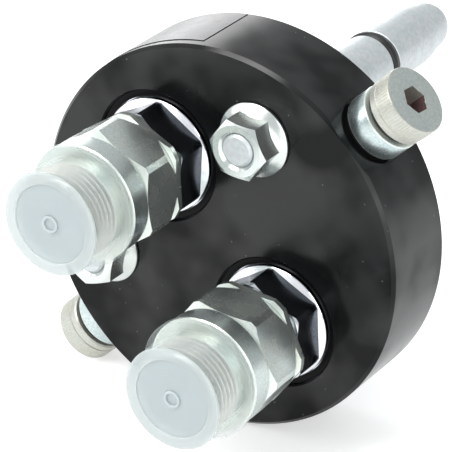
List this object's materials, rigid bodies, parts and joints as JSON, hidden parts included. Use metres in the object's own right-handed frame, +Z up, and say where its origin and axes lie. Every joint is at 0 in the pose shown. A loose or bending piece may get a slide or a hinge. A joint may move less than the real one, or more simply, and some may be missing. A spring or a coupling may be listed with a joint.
{
  "type": "hydraulic multi-coupling half",
  "caption": "Mobile half of a hydraulic multi-coupling: black round plate with capped hose adapters, flat-face coupling noses, guide pins and cam rollers.",
  "frame": {"origin": "centre of the plate's mating face", "axes": "+Y along the plate's axis, the way the guide pins and coupling noses point; +Z up as the half rests on its rim and its left screw's head; +X to the right seen from the hose side"},
  "size_m": [0.101, 0.1257, 0.095],
  "materials": {
    "black_anodised": "black anodised, satin",
    "bright_plated": "polished and bright nickel plated steel",
    "zinc_plated": "turned steel, zinc plated",
    "ground_steel": "ground and hardened steel",
    "spring_steel": "drawn spring wire",
    "black_phosphate": "black phosphated spring steel",
    "black_rubber": "moulded nitrile rubber",
    "black_nylon": "turned nylon",
    "translucent_polyethylene": "milky translucent polyethylene",
    "black_film": "bare black label film"
  },
  "bodies": {
    "plate_half": {"plate": "black_anodised", "label_film": "black_film", "snap_rings": "black_phosphate", "body_seals": "black_rubber", "nose_seals": "black_rubber", "guide_pin_seals": "black_rubber", "sealing_washers": "zinc_plated", "flange_nuts": "zinc_plated", "thrust_washers": "black_nylon", "guide_pin_upper": "zinc_plated", "guide_pin_lower": "zinc_plated", "roller_screw_right": "zinc_plated", "roller_screw_left": "zinc_plated", "coupling_body_upper": "bright_plated", "coupling_nose_upper": "zinc_plated", "valve_spring_upper": "spring_steel", "spring_seat_upper": "zinc_plated", "hose_adapter_upper": "zinc_plated", "coupling_body_lower": "bright_plated", "coupling_nose_lower": "zinc_plated", "valve_spring_lower": "spring_steel", "spring_seat_lower": "zinc_plated", "hose_adapter_lower": "zinc_plated"},
    "right_roller": {"roller_right": "ground_steel"},
    "left_roller": {"roller_left": "ground_steel"},
    "upper_valve": {"valve_upper": "zinc_plated"},
    "lower_valve": {"valve_lower": "zinc_plated"},
    "upper_cap": {"protective_cap_upper": "translucent_polyethylene"},
    "lower_cap": {"protective_cap_lower": "translucent_polyethylene"}
  },
  "joints": [
    {"name": "right_roller_spin", "type": "hinge", "parent": "plate_half", "child": "right_roller", "pos_m": [0, -0.01125, 0], "axis": [0.7348, 0, 0.6783], "continuous": true},
    {"name": "left_roller_spin", "type": "hinge", "parent": "plate_half", "child": "left_roller", "pos_m": [0, -0.01125, 0], "axis": [0.7348, 0, 0.6783], "continuous": true},
    {"name": "upper_valve_slide", "type": "slide", "parent": "plate_half", "child": "upper_valve", "axis": [0, -1, 0], "range_m": [0, 0.007], "stiffness_N_per_m": 2000, "springref_m": -0.004, "deforming": ["valve_spring_upper"]},
    {"name": "upper_cap_pull", "type": "slide", "parent": "plate_half", "child": "upper_cap", "axis": [0, -1, 0], "range_m": [0, 0.0145]},
    {"name": "lower_valve_slide", "type": "slide", "parent": "plate_half", "child": "lower_valve", "axis": [0, -1, 0], "range_m": [0, 0.007], "stiffness_N_per_m": 2000, "springref_m": -0.004, "deforming": ["valve_spring_lower"]},
    {"name": "lower_cap_pull", "type": "slide", "parent": "plate_half", "child": "lower_cap", "axis": [0, -1, 0], "range_m": [0, 0.0145]}
  ]
}
